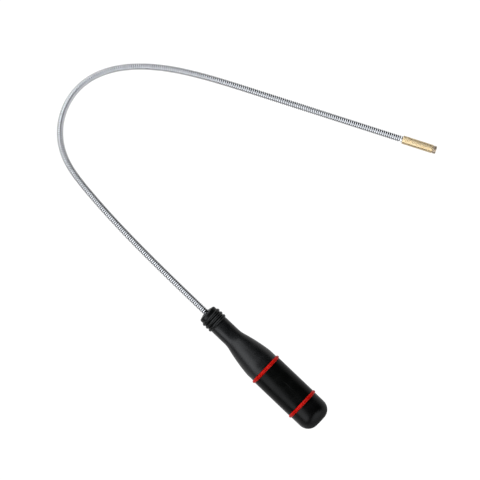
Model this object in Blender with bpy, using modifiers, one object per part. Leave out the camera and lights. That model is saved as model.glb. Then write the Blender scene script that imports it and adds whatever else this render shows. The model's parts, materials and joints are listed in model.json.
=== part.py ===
"""Flexible magnetic pick-up tool: a bottle-shaped handle, a bendable gooseneck and a brass magnet tip.

Frame: metres, +Z up. The origin is the centre of the handle's flat rear end, on the handle's axis.
+X runs along the handle towards the gooseneck. The tool lies on its side, on its two rubber rings,
on the gooseneck and on the tip, so the surface under it is RING_RADIUS below the origin.
"""

import math

import bpy
import numpy as np
from mathutils import Matrix, Vector

MM = 0.001

# Handle: distances run along +X from the rear end, radii are about the X axis
HANDLE_LENGTH = 117.7 * MM
CAP_RADIUS = 12.75 * MM
CAP_CORNER = 8.9 * MM
CAP_FRONT = 17.1 * MM
CAP_FLOOR = 4.0 * MM
CAP_BEVEL = 4.9 * MM
RING_RADIUS = 13.75 * MM
RING_SECTION = 1.45 * MM
REAR_RING_AT = 18.9 * MM
FRONT_RING_AT = 56.1 * MM
GRIP_REAR = 20.7 * MM
GRIP_FRONT = 54.3 * MM
GRIP_RADIUS = 12.9 * MM
GRIP_EDGE = 0.6 * MM
CORE_RADIUS = 10.6 * MM
CORE_FRONT = 100.6 * MM
CORE_NOSE_RADIUS = 5.2 * MM
CORE_BORE_RADIUS = 4.0 * MM
CORE_BORE_END = 75.7 * MM
FIT_GAP = 0.3 * MM

# Front shell: its outer line from the ring to the neck is a chain of tangent arcs, (length, turn in degrees)
SHELL_REAR = 57.9 * MM
SHELL_FRONT = 104.0 * MM
SHELL_RADIUS = 12.5 * MM
SHOULDER_AT = 62.0 * MM
SHOULDER_ARCS = ((3.0 * MM, -7.0), (21.4 * MM, -8.1), (5.6 * MM, 15.1))
SHELL_BORE_END = 88.5 * MM
SHELL_CONE_END = 68.0 * MM
SHELL_CONE_RADIUS = 9.9 * MM

# Neck collar: three rounded ribs and a blunt nose that the gooseneck leaves through
COLLAR_SPIGOT = 101.0 * MM
RIB_START = 104.6 * MM
RIB_SPACING = 3.0 * MM
RIB_COUNT = 3
RIB_VALLEY = 7.6 * MM
RIB_PEAK = 8.5 * MM
NOSE_RADIUS = 7.4 * MM
NOSE_EDGE = 1.4 * MM
NOSE_FACE_AT = 116.8 * MM
NOSE_LIP = 0.5 * MM

# Gooseneck: a wound steel tube, rooted in the handle's core and cut into short links that hinge on each other
TUBE_RADIUS = 2.5 * MM
TUBE_WALL = 1.0 * MM
TUBE_LENGTH = 463.1 * MM
ROOT_AT = 76.3 * MM
FERRULE_REAR = 76.0 * MM
FERRULE_FRONT = 98.0 * MM
FERRULE_RADIUS = 3.7 * MM
LINK_COUNT = 40
LINK_PITCH = 11.6 * MM
FIRST_HINGE = 6.0 * MM
HINGE_GAP = 1.0 * MM
LINK_POINTS = 4
TUBE_BEVEL = 4

# How the gooseneck lies: (distance from the collar in mm, right-hand bend there in degrees per mm)
BEND_KEYS = (
    (0, 0),
    (80, 0.06),
    (130, 0.13),
    (160, 1.26),
    (190, 1.17),
    (215, 1.28),
    (260, 0.51),
    (310, 0.135),
    (350, 0),
)
ROUTE_STEP = 0.5 * MM
SINK_LENGTH = 130.0 * MM
TIP_LIFT_FROM = 400.0 * MM
TIP_LIFT_TO = 460.0 * MM

# Tip: distances run from the gooseneck's end
TIP_RING_RADIUS = 2.8 * MM
TIP_RING_FROM = 0.3 * MM
TIP_RING_TO = 1.6 * MM
SLEEVE_RADIUS = 3.2 * MM
SLEEVE_FROM = 1.9 * MM
SLEEVE_TO = 25.4 * MM
SLEEVE_CHAMFER = 0.3 * MM
MAGNET_SEAT = 18.0 * MM
MAGNET_SHANK_RADIUS = 2.3 * MM
MAGNET_RADIUS = 3.0 * MM
MAGNET_TO = 28.1 * MM
MAGNET_EDGE = 0.5 * MM
STUD_RADIUS = 1.2 * MM
STUD_FROM = -4.0 * MM
STUD_TO = 17.7 * MM

HANDLE_STEPS = 32
TIP_STEPS = 16
ARC_STEPS = 8
RIB_STEPS = 6
SHARP_ANGLE = 35
X_AXIS = Vector((1, 0, 0))
UP = Vector((0, 0, 1))


def clear_scene():
    for thing in list(bpy.data.objects):
        bpy.data.objects.remove(thing, do_unlink=True)


def finish_of(name, colour, roughness, metallic=0.0):
    """A Principled material with one colour."""
    made = bpy.data.materials.new(name)
    made.use_nodes = True
    shader = made.node_tree.nodes["Principled BSDF"]
    shader.inputs["Base Color"].default_value = (*colour, 1)
    shader.inputs["Roughness"].default_value = roughness
    shader.inputs["Metallic"].default_value = metallic
    made.diffuse_color = (*colour, 1)
    return made


def arc(centre_x, centre_radius, radius, start, end, steps):
    """(x, radius) points on an arc, with its angles in degrees from +X towards larger radii."""
    angles = [math.radians(start + (end - start) * i / steps) for i in range(steps + 1)]
    return [(centre_x + radius * math.cos(a), centre_radius + radius * math.sin(a)) for a in angles]


def as_smooth_mesh(thing, finish):
    """Replaces an object by the mesh that it evaluates to, smooth but for its sharp edges."""
    bpy.context.view_layer.update()
    evaluated = thing.evaluated_get(bpy.context.evaluated_depsgraph_get())
    mesh = bpy.data.meshes.new_from_object(evaluated)
    mesh.materials.clear()
    mesh.materials.append(finish)
    mesh.shade_smooth()
    mesh.set_sharp_from_angle(angle=math.radians(SHARP_ANGLE))
    name, place = thing.name, thing.matrix_world.copy()
    bpy.data.objects.remove(thing, do_unlink=True)
    solid = bpy.data.objects.new(name, mesh)
    solid.matrix_world = place
    TOOL.objects.link(solid)
    return solid


def follow(child, parent):
    """Makes the child move with the parent, from where it stands now."""
    bpy.context.view_layer.update()
    child.parent = parent
    child.matrix_parent_inverse = parent.matrix_world.inverted()


def turned(name, outline, finish, steps=HANDLE_STEPS, at=Vector(), along=X_AXIS):
    """Turns (distance, radius) points about an axis. They run from the far end back along the outside,
    then forward along any hollow. Neighbours that both lie on the axis aren't joined."""
    count = len(outline)
    pairs = [(i, (i + 1) % count) for i in range(count)]
    mesh = bpy.data.meshes.new(name)
    edges = [(a, b) for a, b in pairs if outline[a][1] > 0 or outline[b][1] > 0]
    mesh.from_pydata([(radius, 0, distance) for distance, radius in outline], edges, [])
    thing = bpy.data.objects.new(name, mesh)
    TOOL.objects.link(thing)
    down = (along * UP.dot(along) - UP).normalized()
    turn = Matrix((down, along.cross(down), along)).transposed()
    thing.matrix_world = Matrix.Translation(at) @ turn.to_4x4()
    screw = thing.modifiers.new("turn", "SCREW")
    screw.axis = "Z"
    screw.angle = math.tau
    screw.steps = steps
    screw.render_steps = steps
    screw.use_merge_vertices = True
    screw.merge_threshold = 0.01 * MM
    return as_smooth_mesh(thing, finish)


def smooth_rise(distance, start, end):
    """0 before start and 1 after end, level at both."""
    share = np.clip((distance - start) / (end - start), 0, 1)
    return share * share * (3 - 2 * share)


def trace_route():
    """The gooseneck's centre line, from the collar to past the tip, as columns distance, x, y and z."""
    distance = np.arange(0, TUBE_LENGTH + MAGNET_TO + 2 * ROUTE_STEP, ROUTE_STEP)
    keys = np.array(BEND_KEYS, float)
    bend = np.interp(distance / MM, keys[:, 0], keys[:, 1]) / MM
    turn = np.append(0, np.cumsum((bend[1:] + bend[:-1]) / 2 * ROUTE_STEP))
    heading = -np.radians(turn[1:] + turn[:-1]) / 2
    x = HANDLE_LENGTH + np.append(0, np.cumsum(np.cos(heading) * ROUTE_STEP))
    y = np.append(0, np.cumsum(np.sin(heading) * ROUTE_STEP))
    sink = (RING_RADIUS - TUBE_RADIUS) * smooth_rise(distance, 0, SINK_LENGTH)
    lift = (SLEEVE_RADIUS - TUBE_RADIUS) * smooth_rise(distance, TIP_LIFT_FROM, TIP_LIFT_TO)
    return np.column_stack([distance, x, y, lift - sink])


ROUTE = trace_route()


def on_route(distance):
    """The point this far along the gooseneck from the collar. Inside the handle, distances are negative."""
    if distance < 0:
        return Vector((HANDLE_LENGTH + distance, 0, 0))
    return Vector([float(np.interp(distance, ROUTE[:, 0], ROUTE[:, i])) for i in (1, 2, 3)])


def route_direction(distance):
    return (on_route(distance + ROUTE_STEP) - on_route(distance - ROUTE_STEP)).normalized()


def hinge_distance(number):
    """How far hinge 1, 2, 3... is along the gooseneck."""
    return FIRST_HINGE + LINK_PITCH * (number - 1)


def tube(name, start, end, origin, finish):
    """A hollow stretch of the gooseneck between two distances, with its object's origin at a given point."""
    curve = bpy.data.curves.new(name, "CURVE")
    curve.dimensions = "3D"
    curve.twist_mode = "Z_UP"
    curve.bevel_depth = TUBE_RADIUS
    curve.bevel_resolution = TUBE_BEVEL
    spline = curve.splines.new("POLY")
    spline.points.add(LINK_POINTS - 1)
    for i, point in enumerate(spline.points):
        place = on_route(start + (end - start) * i / (LINK_POINTS - 1)) - origin
        point.co = (*place, 1)
    thing = bpy.data.objects.new(name, curve)
    thing.location = origin
    TOOL.objects.link(thing)
    wall = thing.modifiers.new("wall", "SOLIDIFY")
    wall.thickness = TUBE_WALL
    wall.offset = -1
    return as_smooth_mesh(thing, finish)


def handle_core(finish):
    """The hard body inside the handle, with a blind bore in its nose for the gooseneck's root."""
    rear = CAP_FLOOR + FIT_GAP
    outline = [
        (CORE_FRONT, CORE_NOSE_RADIUS),
        (SHELL_BORE_END, CORE_NOSE_RADIUS),
        (SHELL_CONE_END, SHELL_CONE_RADIUS - FIT_GAP),
        (SHELL_REAR, CORE_RADIUS),
        (rear + CAP_BEVEL, CORE_RADIUS),
        (rear, CORE_RADIUS - CAP_BEVEL),
        (rear, 0),
        (CORE_BORE_END, 0),
        (CORE_BORE_END, CORE_BORE_RADIUS),
        (CORE_FRONT, CORE_BORE_RADIUS),
    ]
    return turned("handle_core", outline, finish)


def end_cap(finish):
    """The rear cup: a deep round corner into a small flat end, and a hollow that fits over the core."""
    inside = CORE_RADIUS + FIT_GAP
    outline = [
        (CAP_FRONT, CAP_RADIUS),
        *arc(CAP_CORNER, CAP_RADIUS - CAP_CORNER, CAP_CORNER, 90, 180, ARC_STEPS),
        (0, 0),
        (CAP_FLOOR, 0),
        (CAP_FLOOR, inside - CAP_BEVEL),
        (CAP_FLOOR + CAP_BEVEL, inside),
        (CAP_FRONT, inside),
    ]
    return turned("end_cap", outline, finish)


def grip_sleeve(finish):
    """The soft band between the two rings."""
    inside = CORE_RADIUS + FIT_GAP
    edge_radius = GRIP_RADIUS - GRIP_EDGE
    outline = [
        (GRIP_FRONT, inside),
        *arc(GRIP_FRONT - GRIP_EDGE, edge_radius, GRIP_EDGE, 0, 90, 2),
        *arc(GRIP_REAR + GRIP_EDGE, edge_radius, GRIP_EDGE, 90, 180, 2),
        (GRIP_REAR, inside),
    ]
    return turned("grip_sleeve", outline, finish)


def rubber_ring(name, at, finish):
    """A round-section ring, seated on the core and standing a little proud of its neighbours."""
    bpy.ops.mesh.primitive_torus_add(
        major_radius=RING_RADIUS - RING_SECTION,
        minor_radius=RING_SECTION,
        major_segments=HANDLE_STEPS,
        minor_segments=10,
        location=(at, 0, 0),
        rotation=(0, math.radians(90), 0),
    )
    thing = bpy.context.object
    thing.name = name
    for holder in list(thing.users_collection):
        holder.objects.unlink(thing)
    TOOL.objects.link(thing)
    thing.data.materials.append(finish)
    thing.data.shade_smooth()
    return thing


def shoulder_line():
    """The shell's outer line from the ring forward to the neck: (x, radius) points along tangent arcs."""
    x, radius, slope = SHOULDER_AT, SHELL_RADIUS, 0.0
    points = [(SHELL_REAR, radius), (x, radius)]
    for length, turn in SHOULDER_ARCS:
        for _ in range(ARC_STEPS):
            slope += math.radians(turn) / ARC_STEPS / 2
            x += length / ARC_STEPS * math.cos(slope)
            radius += length / ARC_STEPS * math.sin(slope)
            slope += math.radians(turn) / ARC_STEPS / 2
            points.append((x, radius))
    return points + [(SHELL_FRONT, radius)]


def front_shell(finish):
    """The bottle shoulder and neck, a hollow shell over the core's nose."""
    bore = CORE_NOSE_RADIUS + FIT_GAP
    outline = [
        *reversed(shoulder_line()),
        (SHELL_REAR, CORE_RADIUS + FIT_GAP),
        (SHELL_CONE_END, SHELL_CONE_RADIUS),
        (SHELL_BORE_END, bore),
        (SHELL_FRONT, bore),
    ]
    return turned("front_shell", outline, finish)


def neck_collar(finish):
    """The ribbed boot on the neck: a blunt nose, round ribs, and a spigot that plugs into the shell."""
    bore = TUBE_RADIUS + FIT_GAP
    rear = SHELL_FRONT + FIT_GAP
    corner = NOSE_RADIUS - NOSE_EDGE
    rib_points = RIB_COUNT * RIB_STEPS
    ribs = []
    for i in range(rib_points, -1, -1):
        rise = (1 - math.cos(math.tau * i / RIB_STEPS)) / 2
        ribs.append((RIB_START + RIB_SPACING * i / RIB_STEPS, RIB_VALLEY + (RIB_PEAK - RIB_VALLEY) * rise))
    outline = [
        (HANDLE_LENGTH, bore + NOSE_LIP),
        *arc(NOSE_FACE_AT - NOSE_EDGE, corner, NOSE_EDGE, 0, 90, 4),
        (ribs[0][0] + FIT_GAP, NOSE_RADIUS),
        *ribs,
        (rear, RIB_VALLEY),
        (rear, CORE_NOSE_RADIUS),
        (COLLAR_SPIGOT, CORE_NOSE_RADIUS),
        (COLLAR_SPIGOT, bore),
        (HANDLE_LENGTH, bore),
    ]
    return turned("neck_collar", outline, finish)


def plain_sleeve(name, front, rear, outside, inside, finish, **placed):
    """A straight sleeve with square ends."""
    outline = [(front, outside), (rear, outside), (rear, inside), (front, inside)]
    return turned(name, outline, finish, **placed)


def magnet_sleeve(finish, placed):
    """The brass sleeve: a narrow bore for the stud, a wide seat for the magnet, and chamfered rims."""
    narrow = STUD_RADIUS + FIT_GAP
    wide = MAGNET_SHANK_RADIUS + FIT_GAP
    rim = SLEEVE_RADIUS - SLEEVE_CHAMFER
    outline = [
        (SLEEVE_TO, rim),
        (SLEEVE_TO - SLEEVE_CHAMFER, SLEEVE_RADIUS),
        (SLEEVE_FROM + SLEEVE_CHAMFER, SLEEVE_RADIUS),
        (SLEEVE_FROM, rim),
        (SLEEVE_FROM, narrow),
        (MAGNET_SEAT, narrow),
        (MAGNET_SEAT, wide),
        (SLEEVE_TO, wide),
    ]
    return turned("tip_sleeve", outline, finish, **placed)


def magnet(finish, placed):
    """The magnet: a shank in the brass sleeve and an exposed head with a rounded edge and a flat face."""
    shoulder = SLEEVE_TO + FIT_GAP
    outline = [
        (MAGNET_TO, 0),
        *arc(MAGNET_TO - MAGNET_EDGE, MAGNET_RADIUS - MAGNET_EDGE, MAGNET_EDGE, 0, 90, 3),
        (shoulder, MAGNET_RADIUS),
        (shoulder, MAGNET_SHANK_RADIUS),
        (MAGNET_SEAT + FIT_GAP, MAGNET_SHANK_RADIUS),
        (MAGNET_SEAT + FIT_GAP, 0),
    ]
    return turned("magnet", outline, finish, **placed)


def build_handle():
    """The handle's pieces and the gooseneck's root, which all stay together."""
    base = bpy.data.objects.new("handle", None)
    TOOL.objects.link(base)
    hard_black = finish_of("handle_plastic", (0.012, 0.013, 0.014), 0.38)
    soft_black = finish_of("grip_rubber", (0.010, 0.012, 0.011), 0.55)
    red = finish_of("ring_rubber", (0.62, 0.02, 0.01), 0.3)
    crimp = finish_of("ferrule_steel", (0.45, 0.45, 0.46), 0.4, metallic=1)
    bore = TUBE_RADIUS + FIT_GAP
    root_end = hinge_distance(1) - HINGE_GAP / 2
    pieces = [
        handle_core(hard_black),
        end_cap(hard_black),
        rubber_ring("rear_ring", REAR_RING_AT, red),
        grip_sleeve(soft_black),
        rubber_ring("front_ring", FRONT_RING_AT, red),
        front_shell(hard_black),
        neck_collar(soft_black),
        plain_sleeve("root_ferrule", FERRULE_FRONT, FERRULE_REAR, FERRULE_RADIUS, bore, crimp),
        tube("gooseneck_root", ROOT_AT - HANDLE_LENGTH, root_end, Vector(), STEEL),
    ]
    for piece in pieces:
        follow(piece, base)
    return base


def build_gooseneck(base):
    """The chain of links. Each link's origin is on its own hinge, and it follows the link before it."""
    before = base
    for number in range(1, LINK_COUNT + 1):
        start = hinge_distance(number) + HINGE_GAP / 2
        end = TUBE_LENGTH
        if number < LINK_COUNT:
            end = hinge_distance(number + 1) - HINGE_GAP / 2
        link = tube(f"gooseneck_link_{number:02d}", start, end, on_route(hinge_distance(number)), STEEL)
        follow(link, before)
        before = link
    return before


def build_tip(last_link):
    """The pieces at the gooseneck's end, on its own line."""
    placed = {"steps": TIP_STEPS, "at": on_route(TUBE_LENGTH), "along": route_direction(TUBE_LENGTH)}
    brass = finish_of("sleeve_brass", (0.75, 0.52, 0.22), 0.28, metallic=1)
    dark = finish_of("magnet_dark", (0.12, 0.12, 0.13), 0.35, metallic=1)
    bore = STUD_RADIUS + FIT_GAP
    stud = [(STUD_TO, 0), (STUD_TO, STUD_RADIUS), (STUD_FROM, STUD_RADIUS), (STUD_FROM, 0)]
    pieces = [
        plain_sleeve("tip_ring", TIP_RING_TO, TIP_RING_FROM, TIP_RING_RADIUS, bore, STEEL, **placed),
        magnet_sleeve(brass, placed),
        turned("tip_stud", stud, STEEL, **placed),
        magnet(dark, placed),
    ]
    for piece in pieces:
        follow(piece, last_link)


clear_scene()
TOOL = bpy.data.collections.new("magnetic_pickup_tool")
bpy.context.scene.collection.children.link(TOOL)
STEEL = finish_of("gooseneck_steel", (0.62, 0.63, 0.65), 0.25, metallic=1)
handle = build_handle()
last = build_gooseneck(handle)
build_tip(last)
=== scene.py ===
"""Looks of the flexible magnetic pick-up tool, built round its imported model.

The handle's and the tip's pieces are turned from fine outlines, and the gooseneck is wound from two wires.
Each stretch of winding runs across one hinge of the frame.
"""

import json
import math

import bmesh
import bpy
import numpy as np
from mathutils import Matrix, Vector


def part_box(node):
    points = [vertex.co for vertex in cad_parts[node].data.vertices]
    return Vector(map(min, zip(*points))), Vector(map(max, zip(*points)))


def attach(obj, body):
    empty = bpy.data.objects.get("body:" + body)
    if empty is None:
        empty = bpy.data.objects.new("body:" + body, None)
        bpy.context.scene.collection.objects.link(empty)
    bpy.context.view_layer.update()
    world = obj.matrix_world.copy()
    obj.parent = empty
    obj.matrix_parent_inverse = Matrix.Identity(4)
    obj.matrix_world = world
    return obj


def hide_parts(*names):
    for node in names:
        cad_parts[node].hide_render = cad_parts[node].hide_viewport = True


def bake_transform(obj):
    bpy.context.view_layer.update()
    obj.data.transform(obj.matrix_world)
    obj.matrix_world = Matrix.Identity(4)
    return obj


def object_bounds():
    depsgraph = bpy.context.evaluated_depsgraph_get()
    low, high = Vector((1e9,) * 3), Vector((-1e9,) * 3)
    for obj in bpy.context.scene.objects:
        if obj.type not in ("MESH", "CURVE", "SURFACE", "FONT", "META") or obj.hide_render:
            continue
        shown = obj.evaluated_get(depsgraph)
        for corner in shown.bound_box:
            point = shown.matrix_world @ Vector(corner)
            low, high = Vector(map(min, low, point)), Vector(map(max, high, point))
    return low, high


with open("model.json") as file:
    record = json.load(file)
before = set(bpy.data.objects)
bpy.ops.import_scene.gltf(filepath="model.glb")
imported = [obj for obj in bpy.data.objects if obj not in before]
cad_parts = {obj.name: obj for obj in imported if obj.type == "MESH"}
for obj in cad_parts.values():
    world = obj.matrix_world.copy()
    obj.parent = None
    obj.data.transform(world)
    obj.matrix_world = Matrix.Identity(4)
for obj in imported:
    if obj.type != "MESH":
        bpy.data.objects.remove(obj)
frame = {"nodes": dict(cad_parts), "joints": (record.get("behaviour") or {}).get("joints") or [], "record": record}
cad_box = [list(corner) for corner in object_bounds()]

MM = 0.001
UP = Vector((0, 0, 1))

# Camera: straight above, with a long lens. The frame's side is measured level with the tool's middle
VIEW_CENTRE = Vector((136.2, -56.3, -5.0)) * MM
VIEW_SIDE = 356.8 * MM
VIEW_TURN = math.radians(-136.37)
VIEW_DISTANCE = 5.0
SENSOR = 36.0

# Studio lights: two panels overhead, one on each side of a dark gap that runs along Y, in a dim room
PANEL_LIGHT = 5.0
SECOND_PANEL_LIGHT = 4.0
ROOM_LIGHT = 0.16
GAP_LIGHT = 0.02
LIGHT_COLOUR = (0.94, 0.965, 1, 1)

# Sizes in the sky are tan(angle from straight up): "across" is along X and "along" is along Y.
# The gap leans to one side where along is above 0, and widens where it is below -GAP_SPREAD_FROM.
GAP_HALF = 0.46
GAP_BLUR = 0.05
GAP_LEAN = -0.75
GAP_SPREAD_FROM = 0.40
GAP_SPREAD = 0.90

# The panels fade out to both sides, and at their far edge, which bulges outwards in the middle.
PANEL_END = 9.0
PANEL_END_BLUR = 4.0
PANEL_FAR = 1.75
PANEL_FAR_BLUR = 0.40
PANEL_BULGE_HALF = 1.2
PANEL_BULGE = 1.6
LOWEST_HEIGHT = 0.02  # directions at and below the horizon count as this high

FLOOR_SHADE = 0.04
FLOOR_GLOW = 0.97
FLOOR_RADIUS = 14.0
FLOOR_DROP = 160.0 * MM

# Winding: a wedge wire with a rounded crown, and a round wire in the groove between its turns
WIRE_PITCH = 1.55 * MM
STEPS_PER_TURN = 26
CROWN_STEPS = 7
CROWN_TOP = 2.5 * MM
CROWN_RADIUS = 0.95 * MM
CROWN_HALF = 0.47 * MM
CROWN_FOOT = 1.62 * MM
CROWN_FOOT_HALF = 0.16 * MM
ROUND_CENTRE = 1.40 * MM
ROUND_RADIUS = 0.44 * MM
ROUND_STEPS = 10
ROUND_WRAP = 20  # the wrap coordinate where the round wire starts, clear of the wedge wire's

# Gooseneck line: knots one link apart, with some before the first hinge and after the last
LINK_PITCH = 11.6 * MM
LINE_STEPS = 24
ROOT_KNOTS = 5
SLEEVE_KNOTS = 3
ROOT_LENGTH = 41.4 * MM

# Turned pieces. Handle pieces reach a little way under the ring beside them
FIT_GAP = 0.3 * MM
RIM_REACH = 0.42 * MM
CORE_FIT_RADIUS = 10.9 * MM
HANDLE_STEPS = 160
TIP_STEPS = 72
TIP_RING_LENGTH = 1.3 * MM
ON_AXIS = 1e-7  # a smaller radius is a point on the axis


# ---------------------------------------------------------------- shader helpers


def add(tree, kind, inputs=(), **settings):
    """A shader node, with its settings, and its inputs given as values or as other nodes' sockets."""
    node = tree.nodes.new("ShaderNode" + kind)
    for key, value in settings.items():
        setattr(node, key, value)
    for key, value in dict(inputs).items():
        if isinstance(value, bpy.types.NodeSocket):
            tree.links.new(value, node.inputs[key])
        else:
            node.inputs[key].default_value = value
    return node


def remap(tree, value, low, high, to_low=0.0, to_high=1.0):
    """The value's range from low to high, eased into another range and held there outside it."""
    node = add(
        tree,
        "MapRange",
        {"Value": value, "From Min": low, "From Max": high, "To Min": to_low, "To Max": to_high},
        interpolation_type="SMOOTHSTEP",
    )
    return node.outputs["Result"]


def maths(tree, operation, *values):
    """The result of a Math node on values or other nodes' sockets."""
    return add(tree, "Math", dict(enumerate(values)), operation=operation).outputs[0]


def noise(tree, where, scale, detail=3.0, rough=0.55, stretch=(1, 1, 1)):
    """Noise whose size is 1 / scale of the coordinate's unit, stretched along an axis by a small number there."""
    placed = add(tree, "Mapping", {"Vector": where, "Scale": stretch})
    made = add(
        tree,
        "TexNoise",
        {"Vector": placed.outputs[0], "Scale": scale, "Detail": detail, "Roughness": rough},
    )
    return made.outputs["Fac"]


def blend_colours(tree, share, first, second):
    """The first colour at share 0 and the second at share 1."""
    node = add(tree, "Mix", data_type="RGBA")
    for socket, value in ((0, share), (6, first), (7, second)):
        if isinstance(value, bpy.types.NodeSocket):
            tree.links.new(value, node.inputs[socket])
        else:
            node.inputs[socket].default_value = (*value, 1) if socket else value
    return node.outputs[2]


def bumps(tree, *layers):
    """Bump nodes in a chain, from (height, depth in metres, strength) layers."""
    normal = None
    for height, depth, strength in layers:
        inputs = {"Height": height, "Distance": depth, "Strength": strength}
        if normal:
            inputs["Normal"] = normal
        normal = add(tree, "Bump", inputs).outputs[0]
    return normal


def start_material(name, **values):
    """(material, tree, shader) of a new material. Values that are the same all over are set on the shader."""
    made = bpy.data.materials.new(name)
    made.use_nodes = True
    tree = made.node_tree
    shader = tree.nodes["Principled BSDF"]
    for key, value in values.items():
        shader.inputs[key.replace("_", " ")].default_value = value
    return made, tree, shader


def plug(tree, shader, **sockets):
    """Links sockets to the shader's inputs, named with _ for each space."""
    for key, socket in sockets.items():
        tree.links.new(socket, shader.inputs[key.replace("_", " ")])


# ---------------------------------------------------------------- materials


def moulded(name, colour, lift, roughness, gloss, grain=0.5, scuffed_to=0.0):
    """Moulded plastic or rubber: a fine cast grain, hairline scratches along the handle, and uneven gloss.

    A scuffed one is dull at the very rear, which fades out towards scuffed_to along the handle.
    """
    made, tree, shader = start_material(name, Specular_IOR_Level=gloss)
    place = add(tree, "TexCoord").outputs["Object"]
    cast = noise(tree, place, 2600, detail=2)
    patches = noise(tree, place, 130, detail=4)
    hairs = noise(tree, place, 900, detail=3, stretch=(0.04, 1, 1))
    scratch = remap(tree, hairs, 0.66, 0.72)
    rubbed = remap(tree, patches, 0.35, 0.75)
    shade = blend_colours(tree, rubbed, colour, lift)
    dusty = [min(1, c * 2.2 + 0.004) for c in lift]
    shade = blend_colours(tree, maths(tree, "MULTIPLY", scratch, 0.35), shade, dusty)
    gloss_map = remap(tree, patches, 0.3, 0.7, roughness - 0.04, roughness + 0.05)
    gloss_map = maths(tree, "ADD", gloss_map, maths(tree, "MULTIPLY", cast, 0.05))
    if scuffed_to:
        along = add(tree, "SeparateXYZ", {0: place}).outputs[0]
        full_until, dulling = 0.1 * scuffed_to, 0.35
        scuff = remap(tree, along, full_until, scuffed_to, 1, 0)
        gloss_map = maths(tree, "MULTIPLY_ADD", scuff, dulling, gloss_map)
    normal = bumps(tree, (cast, 0.02 * MM, grain), (scratch, -0.008 * MM, 0.4))
    plug(tree, shader, Base_Color=shade, Roughness=gloss_map, Normal=normal)
    return made


def red_rubber():
    """Glossy red rubber, a little deeper in patches, with a fine skin."""
    made, tree, shader = start_material("ring_red", Specular_IOR_Level=0.035)
    place = add(tree, "TexCoord").outputs["Object"]
    skin = noise(tree, place, 1500, detail=3)
    patches = noise(tree, place, 240, detail=3)
    worn = remap(tree, patches, 0.3, 0.7)
    shade = blend_colours(tree, worn, (0.20, 0.0016, 0.0005), (0.26, 0.0026, 0.0008))
    gloss = remap(tree, patches, 0.3, 0.7, 0.18, 0.26)
    plug(tree, shader, Base_Color=shade, Roughness=gloss, Normal=bumps(tree, (skin, 0.015 * MM, 0.35)))
    return made


def drawn_steel():
    """Bright drawn wire: die lines run along it, and the wire down between the turns gets painted shade, nearly
    black, and a rougher gloss.
    """
    made, tree, shader = start_material("gooseneck_steel", Metallic=1.0)
    wrap = add(tree, "UVMap", uv_map="wrap").outputs[0]
    depth = add(tree, "SeparateXYZ", {0: wrap}).outputs[1]
    # The round wire sunk between the wedge wire's turns: it gets painted shade and a rougher gloss
    groove = remap(tree, depth, CROWN_STEPS - 0.4, CROWN_STEPS + 0.2)
    lines = noise(tree, wrap, 9, detail=4, stretch=(0.02, 2.0, 1))
    patches = noise(tree, wrap, 0.35, detail=4, stretch=(1, 0.2, 1))
    dulled = remap(tree, patches, 0.35, 0.7)
    shade = blend_colours(tree, dulled, (0.37, 0.374, 0.383), (0.30, 0.304, 0.313))
    shade = blend_colours(tree, remap(tree, lines, 0.5, 0.8, 0, 0.35), shade, (0.19, 0.194, 0.203))
    # Painted shade: the round wire down between the turns is darkened nearly to black
    shade = blend_colours(tree, maths(tree, "MULTIPLY", groove, 0.9), shade, (0.03, 0.03, 0.033))
    gloss = maths(tree, "MULTIPLY_ADD", groove, 0.15, remap(tree, patches, 0.3, 0.75, 0.08, 0.16))
    plug(tree, shader, Base_Color=shade, Roughness=gloss, Normal=bumps(tree, (lines, 0.006 * MM, 0.5)))
    return made


def turned_metal(name, light, dark, roughness, line_depth, spread=0.0):
    """Turned metal: fine tool lines run round it and spread its gloss along it, and tarnish shows in patches."""
    made, tree, shader = start_material(
        name, Metallic=1.0, Anisotropic=spread, Anisotropic_Rotation=0.25
    )
    wrap = add(tree, "UVMap", uv_map="wrap").outputs[0]
    lines = noise(tree, wrap, 7, detail=4, stretch=(0.01, 1, 1))
    patches = noise(tree, wrap, 0.45, detail=5, rough=0.6)
    nicks = remap(tree, noise(tree, wrap, 3.2, detail=2, stretch=(0.35, 1, 1)), 0.68, 0.74)
    shade = blend_colours(tree, remap(tree, patches, 0.35, 0.7), light, dark)
    shade = blend_colours(tree, maths(tree, "MULTIPLY", nicks, 0.5), shade, [c * 0.55 for c in dark])
    gloss = remap(tree, patches, 0.3, 0.7, roughness - 0.05, roughness + 0.07)
    normal = bumps(tree, (lines, line_depth, 0.5), (nicks, -0.01 * MM, 0.5))
    round_it = add(tree, "Tangent", direction_type="UV_MAP", uv_map="wrap").outputs[0]
    plug(tree, shader, Base_Color=shade, Roughness=gloss, Normal=normal, Tangent=round_it)
    return made


# ---------------------------------------------------------------- mesh helpers


def piece(name, points, faces, wrap, finish, sharp=38):
    """A smooth-shaded object from points, faces and one wrap (UV) pair for each face corner."""
    mesh = bpy.data.meshes.new(name)
    mesh.from_pydata([tuple(p) for p in points], [], faces)
    layer = mesh.uv_layers.new(name="wrap")
    layer.data.foreach_set("uv", np.asarray(wrap, float).ravel())
    working = bmesh.new()
    working.from_mesh(mesh)
    bmesh.ops.recalc_face_normals(working, faces=working.faces)
    working.to_mesh(mesh)
    working.free()
    mesh.materials.append(finish)
    mesh.shade_smooth()
    mesh.set_sharp_from_angle(angle=math.radians(sharp))
    thing = bpy.data.objects.new(name, mesh)
    bpy.context.scene.collection.objects.link(thing)
    return thing


def arc(centre_x, centre_radius, radius, start, end, steps):
    """(x, radius) points on an arc, with its angles in degrees from +X towards larger radii."""
    angles = np.radians(np.linspace(start, end, steps + 1))
    return [(centre_x + radius * math.cos(a), centre_radius + radius * math.sin(a)) for a in angles]


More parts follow.
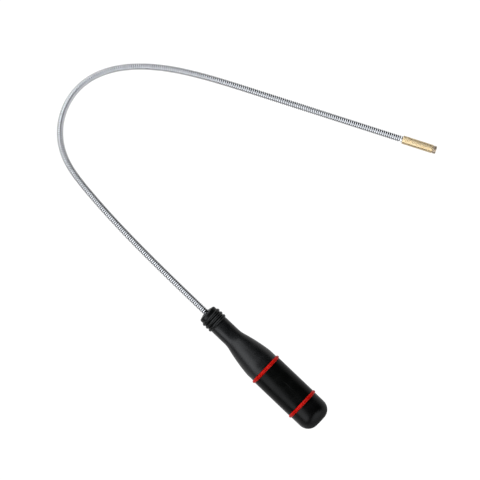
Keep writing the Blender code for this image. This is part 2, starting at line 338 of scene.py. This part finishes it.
def eased(corners, steps=5):
    """An outline from (x, radius, easing) corners. Each corner with an easing becomes an arc of that radius."""
    outline = []
    count = len(corners)
    for i, (x, radius, ease) in enumerate(corners):
        here = Vector((x, radius))
        if not ease:
            outline.append((x, radius))
            continue
        back = (Vector(corners[i - 1][:2]) - here).normalized()
        ahead = (Vector(corners[(i + 1) % count][:2]) - here).normalized()
        half = back.angle(ahead) / 2
        centre = here + (back + ahead).normalized() * (ease / math.sin(half))
        first = here + back * (ease / math.tan(half)) - centre
        last = here + ahead * (ease / math.tan(half)) - centre
        sweep = math.atan2(first.cross(last), first.dot(last))
        for k in range(steps + 1):
            c, s = math.cos(sweep * k / steps), math.sin(sweep * k / steps)
            outline.append((centre.x + first.x * c - first.y * s, centre.y + first.x * s + first.y * c))
    return outline


def turned(name, outline, finish, place=None, steps=HANDLE_STEPS, sharp=38):
    """Turns a closed outline of (distance, radius) points about the place's X axis."""
    angles = [math.tau * k / steps for k in range(steps)]
    rows, points = [], []
    for distance, radius in outline:
        if radius < ON_AXIS:
            rows.append([len(points)] * steps)
            points.append(Vector((distance, 0, 0)))
            continue
        rows.append(list(range(len(points), len(points) + steps)))
        points += [Vector((distance, radius * math.sin(a), radius * math.cos(a))) for a in angles]
    if place:
        points = [place @ p for p in points]
    widest = max(radius for _, radius in outline) / MM
    faces, wrap = [], []
    along = 0.0
    for i, (distance, radius) in enumerate(outline):
        k = (i + 1) % len(outline)
        far = along + math.dist(outline[i], outline[k]) / MM
        if radius < ON_AXIS and outline[k][1] < ON_AXIS:
            along = far
            continue
        for j in range(steps):
            n = (j + 1) % steps
            round_here, round_next = math.tau * widest * j / steps, math.tau * widest * (j + 1) / steps
            corners = [
                (rows[i][j], (round_here, along)),
                (rows[i][n], (round_next, along)),
                (rows[k][n], (round_next, far)),
                (rows[k][j], (round_here, far)),
            ]
            kept = [c for c, before in zip(corners, corners[-1:] + corners[:-1]) if c[0] != before[0]]
            faces.append([c[0] for c in kept])
            wrap += [c[1] for c in kept]
        along = far
    return piece(name, points, faces, wrap, finish, sharp)


def settle(thing, body, slot, *nodes):
    """Rides on a body and stands for these CAD nodes, which it hides. The slot is not used."""
    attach(thing, body)
    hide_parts(*nodes)


# ---------------------------------------------------------------- handle


def end_cap(finish):
    """The deep round cup at the rear, with an eased rim beside the ring."""
    low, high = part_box("end_cap")
    radius, front = high.z, high.x + RIM_REACH
    corner, wall, rim_ease = 8.9 * MM, 1.85 * MM, 0.15 * MM
    floor, floor_radius, cone = 4.0 * MM, 6.0 * MM, 4.9 * MM
    outline = eased([(front, radius - wall, 0), (front, radius, rim_ease), (low.x + corner, radius, 0)])
    outline += arc(low.x + corner, radius - corner, corner, 90, 180, 28)[1:]
    outline += [(low.x, 0), (floor, 0), (floor, floor_radius), (floor + cone, radius - wall)]
    return turned("end_cap_moulding", outline, finish)


def grip_sleeve(finish):
    """The soft band: its ends roll under the rings."""
    low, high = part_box("grip_sleeve")
    bore, edge = CORE_FIT_RADIUS, 0.25 * MM
    rear, front = low.x - RIM_REACH, high.x + RIM_REACH
    outline = eased([(front, bore, 0), (front, high.z, edge), (rear, high.z, edge), (rear, bore, 0)])
    return turned("grip_sleeve_rubber", outline, finish)


def rubber_ring(name, finish):
    """A round ring with the faint flash line that its two mould halves leave."""
    low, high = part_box(name)
    middle, section = (low.x + high.x) / 2, (high.x - low.x) / 2
    centre = high.z - section
    flash, around = 0.03 * MM, 48
    outline = []
    for k in range(around):
        turn = math.tau * k / around
        swell = flash if k in (0, around // 2) else 0.0
        reach = section - flash + swell
        outline.append((middle + reach * math.sin(turn), centre + reach * math.cos(turn)))
    return turned(name + "_rubber", outline[::-1], finish, sharp=60)


def shoulder_line(start, front, radius):
    """The shell's outer line: straight, then tangent arcs of (length, turn in degrees, steps) to the neck."""
    x, slope = 62.0 * MM, 0.0
    arcs = ((3.0 * MM, -7.0, 8), (21.4 * MM, -8.1, 24), (5.6 * MM, 15.1, 16))
    points = [(start, radius), (x, radius)]
    for length, turn, steps in arcs:
        for _ in range(steps):
            slope += math.radians(turn) / steps / 2
            x += length / steps * math.cos(slope)
            radius += length / steps * math.sin(slope)
            slope += math.radians(turn) / steps / 2
            points.append((x, radius))
    return points + [(front, radius)]


def front_shell(finish):
    """The bottle shoulder and neck."""
    low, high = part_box("front_shell")
    rear, rear_bevel, front_bevel = low.x - RIM_REACH, 0.15 * MM, 0.08 * MM
    cone_end, cone_radius = 68.0 * MM, 9.9 * MM
    neck_start, bore = 88.5 * MM, 5.5 * MM
    line = shoulder_line(rear + rear_bevel, high.x - front_bevel, high.z)
    neck = line[-1][1]
    outline = [(high.x, neck - front_bevel), *reversed(line)]
    outline += [(rear, high.z - rear_bevel), (rear, CORE_FIT_RADIUS), (cone_end, cone_radius)]
    outline += [(neck_start, bore), (high.x, bore)]
    return turned("front_shell_moulding", outline, finish)


def neck_collar(finish):
    """The boot: round ribs with tight grooves, a blunt nose with a dished face, and a lip at the gooseneck."""
    low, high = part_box("neck_collar")
    rear, spigot, bore = 103.95 * MM, 5.2 * MM, 2.6 * MM
    valley, peak, nose = 7.4 * MM, high.z, 7.4 * MM
    rib_start, rib_spacing, rib_count, rib_steps = 104.6 * MM, 3.0 * MM, 3, 14
    rib_fullness, nose_land = 0.75, 0.25 * MM
    ribs = []
    for i in range(rib_count * rib_steps + 1):
        swing = abs(math.sin(math.pi * i / rib_steps)) ** rib_fullness
        ribs.append((rib_start + rib_spacing * i / rib_steps, valley + (peak - valley) * swing))
    dish, corner, lip, lip_bevel = 0.9 * MM, 1.4 * MM, 0.55 * MM, 0.15 * MM
    face = high.x - dish
    outline = [(high.x, bore + lip_bevel), (high.x, bore + lip)]
    outline += arc(face - corner, nose - corner, corner, 5, 90, 10)
    outline += [(rib_start + rib_spacing * rib_count + nose_land, nose), *reversed(ribs)]
    outline += [(rear, valley), (rear, spigot), (low.x, spigot), (low.x, bore)]
    outline += [(high.x - lip_bevel, bore)]
    return turned("neck_collar_rubber", outline, finish, sharp=50)


# ---------------------------------------------------------------- gooseneck


def line_through(knots):
    """A smooth line through evenly spaced knots, as rows of x, y, z with LINE_STEPS rows for each gap."""
    slopes = np.gradient(knots, axis=0)
    share = np.linspace(0, 1, LINE_STEPS, endpoint=False)[:, None]
    rows = []
    for a, b, slope_a, slope_b in zip(knots[:-1], knots[1:], slopes[:-1], slopes[1:]):
        rows.append(
            a * (1 + 2 * share) * (1 - share) ** 2
            + b * (3 - 2 * share) * share**2
            + slope_a * share * (1 - share) ** 2
            + slope_b * (share - 1) * share**2
        )
    return np.vstack(rows + [knots[-1:]])


class Gooseneck:
    """The gooseneck's centre line, from its root in the handle, through every hinge, to the magnet's face."""

    def __init__(self):
        hinges = [joint["pos_m"] for joint in frame["joints"]]
        face = next(m for m in frame["record"]["mounts"] if m["name"] == "magnet_face")
        tip, ahead = np.array(face["pos_m"]), np.array(face["axis"])
        last_stretch = math.dist(tip, hinges[-1])
        root = [(hinges[0][0] - LINK_PITCH * k, 0, 0) for k in range(ROOT_KNOTS, 0, -1)]
        sleeve = [tip - ahead * (last_stretch - LINK_PITCH * k) for k in range(1, SLEEVE_KNOTS + 1)]
        rows = line_through(np.array([*root, *hinges, *sleeve], float))
        self.rows = rows
        self.reach = np.append(0, np.cumsum(np.linalg.norm(np.diff(rows, axis=0), axis=1)))
        self.ahead = np.gradient(rows, axis=0)
        self.ahead /= np.linalg.norm(self.ahead, axis=1)[:, None]
        self.hinges = [self.reach[LINE_STEPS * (ROOT_KNOTS + k)] for k in range(len(hinges))]
        straight = LINE_STEPS * ROOT_KNOTS
        root_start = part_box("neck_collar")[1].x - ROOT_LENGTH
        self.root = float(np.interp(root_start, rows[:straight, 0], self.reach[:straight]))
        ring = sum((Vector(c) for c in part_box("tip_ring")), Vector()) / 2
        nearest = int(np.argmin(np.linalg.norm(rows - np.array(ring), axis=1)))
        self.end = self.reach[nearest] - TIP_RING_LENGTH / 2 - FIT_GAP

    def at(self, distance):
        """Points, directions ahead, sideways and up at these distances."""

        def pick(table):
            return np.column_stack([np.interp(distance, self.reach, table[:, i]) for i in range(3)])

        ahead = pick(self.ahead)
        ahead /= np.linalg.norm(ahead, axis=1)[:, None]
        up = np.array(UP) - ahead * ahead[:, 2:]
        up /= np.linalg.norm(up, axis=1)[:, None]
        return pick(self.rows), ahead, np.cross(ahead, up), up

    def place(self, distance):
        """A matrix whose X axis runs ahead there."""
        point, ahead, side, up = (Vector(v[0]) for v in self.at(np.array([distance])))
        return Matrix.Translation(point) @ Matrix((ahead, -side, up)).transposed().to_4x4()


def crown_section():
    """The wedge wire's section as (along, radius): a round crown outside and a narrow foot inside."""
    points = []
    widest = math.degrees(math.asin(CROWN_HALF / CROWN_RADIUS))
    for turn in np.radians(np.linspace(-widest, widest, CROWN_STEPS + 1)):
        points.append((CROWN_RADIUS * math.sin(turn), CROWN_TOP - CROWN_RADIUS * (1 - math.cos(turn))))
    return points + [(CROWN_FOOT_HALF, CROWN_FOOT), (-CROWN_FOOT_HALF, CROWN_FOOT)]


def round_section():
    """The round wire's section as (along, radius)."""
    turns = [math.tau * k / ROUND_STEPS for k in range(ROUND_STEPS)]
    return [(ROUND_RADIUS * math.sin(t), ROUND_CENTRE + ROUND_RADIUS * math.cos(t)) for t in turns]


def winding(name, line, start, end, finish):
    """Both wires between two distances, closed at their ends, as one object."""
    points, faces, wrap = [], [], []
    count = round((end - start) / WIRE_PITCH * STEPS_PER_TURN)
    for section, phase, shelf in ((crown_section(), 0.0, 0), (round_section(), 0.5, ROUND_WRAP)):
        distance = np.linspace(start, end, count + 1)
        turn = math.tau * (distance / WIRE_PITCH + phase)
        centre, ahead, side, up = line.at(distance)
        outward = side * np.cos(turn)[:, None] + up * np.sin(turn)[:, None]
        rings = [centre + ahead * along + outward * radius for along, radius in section]
        first, width = len(points), len(section)
        points += list(np.stack(rings, axis=1).reshape(-1, 3))
        length = turn * CROWN_TOP / MM
        for i in range(count):
            for j in range(width):
                n = (j + 1) % width
                a, b = first + i * width, first + (i + 1) * width
                faces.append((a + j, a + n, b + n, b + j))
                low, high = shelf + j, shelf + j + 1
                wrap += [(length[i], low), (length[i], high), (length[i + 1], high), (length[i + 1], low)]
        for ring in (first, first + count * width):
            faces.append(tuple(range(ring, ring + width)))
            wrap += [(length[0], shelf + j) for j in range(width)]
    return piece(name, points, faces, wrap, finish, sharp=62)


def build_gooseneck(line, finish):
    """The root rides on the handle. Each other stretch runs from mid-link to mid-link across its hinge."""
    cuts = [distance - LINK_PITCH / 2 for distance in line.hinges] + [line.end]
    root = winding("gooseneck_winding_root", line, line.root, cuts[0], finish)
    settle(root, "handle", "gooseneck_steel", "gooseneck_root")
    for number, (joint, start, end) in enumerate(zip(frame["joints"], cuts, cuts[1:]), 1):
        wound = winding(f"gooseneck_winding_{number:02d}", line, start, end, finish)
        near, far = line.at(np.array([start, end]))[0]
        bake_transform(wound)
        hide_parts(f"gooseneck_link_{number:02d}")


# ---------------------------------------------------------------- tip


def build_tip(line, polished, brass, nickel):
    """The ring, the brass sleeve and the magnet, turned on the gooseneck's own line."""
    place = line.place(line.end)
    body = frame["joints"][-1]["child"]
    ring_from, ring_to = FIT_GAP, FIT_GAP + TIP_RING_LENGTH
    ring_radius, ring_ease, stud_bore = 2.8 * MM, 0.2 * MM, 1.5 * MM
    ring = eased(
        [
            (ring_to, ring_radius, ring_ease),
            (ring_from, ring_radius, ring_ease),
            (ring_from, stud_bore, 0),
            (ring_to, stud_bore, 0),
        ]
    )
    settle(turned("tip_ring_band", ring, polished, place, TIP_STEPS), body, "gooseneck_steel", "tip_ring")
    start, front, radius = ring_to + FIT_GAP, 25.4 * MM, 3.2 * MM
    seat, seat_radius = 18.0 * MM, 2.6 * MM
    rear_ease, front_ease, inner_ease = 0.3 * MM, 0.22 * MM, 0.12 * MM
    sleeve = eased(
        [
            (front, radius, front_ease),
            (start, radius, rear_ease),
            (start, stud_bore, 0),
            (seat, stud_bore, 0),
            (seat, seat_radius, 0),
            (front, seat_radius, inner_ease),
        ]
    )
    settle(turned("tip_sleeve_tube", sleeve, brass, place, TIP_STEPS), body, "sleeve_brass", "tip_sleeve")
    head, shank, face, face_ease = 3.0 * MM, 2.3 * MM, 28.1 * MM, 0.55 * MM
    shoulder, shank_end = front + FIT_GAP, seat + FIT_GAP
    magnet = eased(
        [
            (face, 0, 0),
            (face, head, face_ease),
            (shoulder, head, inner_ease),
            (shoulder, shank, 0),
            (shank_end, shank, 0),
            (shank_end, 0, 0),
        ],
        steps=8,
    )
    settle(turned("magnet_head", magnet, nickel, place, TIP_STEPS), body, "magnet_nickel", "magnet")


# ---------------------------------------------------------------- studio


def build_world():
    """Soft light from two overhead panels with a dark gap between them, painted on the sky by direction."""
    world = bpy.data.worlds.new("studio")
    bpy.context.scene.world = world
    world.use_nodes = True
    tree = world.node_tree
    facing = add(tree, "SeparateXYZ", {0: add(tree, "TexCoord").outputs["Generated"]})
    height = maths(tree, "MAXIMUM", facing.outputs[2], LOWEST_HEIGHT)
    across = maths(tree, "DIVIDE", facing.outputs[0], height)
    along = maths(tree, "DIVIDE", facing.outputs[1], height)
    middle = maths(tree, "MULTIPLY", maths(tree, "MAXIMUM", along, 0.0), GAP_LEAN)
    from_middle = maths(tree, "SUBTRACT", across, middle)
    spread = maths(tree, "MAXIMUM", maths(tree, "SUBTRACT", -GAP_SPREAD_FROM, along), 0.0)
    half = maths(tree, "MULTIPLY_ADD", spread, GAP_SPREAD, GAP_HALF)
    beyond = maths(tree, "SUBTRACT", maths(tree, "ABSOLUTE", from_middle), half)
    open_sky = remap(tree, beyond, -GAP_BLUR, GAP_BLUR)
    aside = maths(tree, "ABSOLUTE", across)
    ends = remap(tree, aside, PANEL_END - PANEL_END_BLUR, PANEL_END + PANEL_END_BLUR, 1, 0)
    bulge = remap(tree, aside, 0, PANEL_BULGE_HALF, PANEL_BULGE, 0)
    reach = maths(tree, "SUBTRACT", along, bulge)
    far = remap(tree, reach, PANEL_FAR - PANEL_FAR_BLUR, PANEL_FAR + PANEL_FAR_BLUR, 1, 0)
    first = remap(tree, from_middle, -GAP_BLUR, GAP_BLUR, SECOND_PANEL_LIGHT, PANEL_LIGHT)
    panels = maths(tree, "MULTIPLY", far, ends)
    above_room = maths(tree, "SUBTRACT", first, ROOM_LIGHT)
    lit = maths(tree, "MULTIPLY_ADD", above_room, panels, ROOM_LIGHT)
    above_gap = maths(tree, "SUBTRACT", lit, GAP_LIGHT)
    light = maths(tree, "MULTIPLY_ADD", above_gap, open_sky, GAP_LIGHT)
    lamp = tree.nodes["Background"]
    lamp.inputs["Color"].default_value = LIGHT_COLOUR
    tree.links.new(light, lamp.inputs["Strength"])


def build_floor():
    """A pale floor, lit from below like a light table, set well below the tool."""
    height = cad_box[0][2] - FLOOR_DROP
    centre = (VIEW_CENTRE.x, VIEW_CENTRE.y, height)
    bpy.ops.mesh.primitive_circle_add(vertices=96, radius=FLOOR_RADIUS, fill_type="NGON", location=centre)
    floor = bpy.context.object
    floor.name = "floor"
    made, tree, shader = start_material("floor", Roughness=0.9, Emission_Strength=FLOOR_GLOW)
    shader.inputs["Base Color"].default_value = (FLOOR_SHADE, FLOOR_SHADE, FLOOR_SHADE, 1)
    shader.inputs["Emission Color"].default_value = (1, 1, 1, 1)
    shader.inputs["Specular IOR Level"].default_value = 0.1
    floor.data.materials.append(made)


def build_camera():
    """A long lens straight above the tool, turned so that the handle points down and to the right."""
    data = bpy.data.cameras.new("camera")
    data.sensor_width = SENSOR
    data.lens = SENSOR * VIEW_DISTANCE / VIEW_SIDE
    camera = bpy.data.objects.new("camera", data)
    camera.location = VIEW_CENTRE + UP * VIEW_DISTANCE
    camera.rotation_euler = (0, 0, VIEW_TURN)
    bpy.context.scene.collection.objects.link(camera)
    bpy.context.scene.camera = camera


# ---------------------------------------------------------------- putting it together

build_camera()
build_world()
build_floor()
bpy.context.scene.view_settings.view_transform = "Standard"

plastic = moulded("handle_plastic", (0.0011, 0.0012, 0.0014), (0.0016, 0.0017, 0.0019), 0.33, 0.19)
cap_dark, cap_light = (0.0004, 0.0004, 0.0004), (0.0007, 0.0007, 0.0007)
cap_plastic = moulded("cap_plastic", cap_dark, cap_light, 0.31, 0.09, scuffed_to=8 * MM)
grip = moulded("grip_rubber", (0.0009, 0.0010, 0.0009), (0.0013, 0.0014, 0.0013), 0.26, 0.055, grain=0.3)
collar = moulded("collar_rubber", (0.0008, 0.0010, 0.0010), (0.0013, 0.0015, 0.0015), 0.30, 0.115)
red = red_rubber()
steel = drawn_steel()
brass = turned_metal("sleeve_brass", (0.50, 0.405, 0.255), (0.44, 0.325, 0.175), 0.38, 0.02 * MM, 0.9)
nickel = turned_metal("magnet_nickel", (0.36, 0.30, 0.235), (0.29, 0.225, 0.16), 0.30, 0.01 * MM, 0.8)
polished = turned_metal("tip_ring_steel", (0.80, 0.805, 0.81), (0.70, 0.705, 0.71), 0.30, 0.005 * MM, 0.5)
crimped = turned_metal("ferrule_steel", (0.45, 0.45, 0.46), (0.34, 0.34, 0.35), 0.38, 0.02 * MM)

settle(end_cap(cap_plastic), "handle", "handle_plastic", "end_cap")
settle(rubber_ring("rear_ring", red), "handle", "ring_red", "rear_ring")
settle(grip_sleeve(grip), "handle", "grip_rubber", "grip_sleeve")
settle(rubber_ring("front_ring", red), "handle", "ring_red", "front_ring")
settle(front_shell(plastic), "handle", "handle_plastic", "front_shell")
settle(neck_collar(collar), "handle", "collar_rubber", "neck_collar")
for node, finish in (("handle_core", plastic), ("root_ferrule", crimped), ("tip_stud", steel)):
    frame["nodes"][node].material_slots[0].material = finish

goose = Gooseneck()
build_gooseneck(goose, steel)
build_tip(goose, polished, brass, nickel)

bpy.context.view_layer.update()
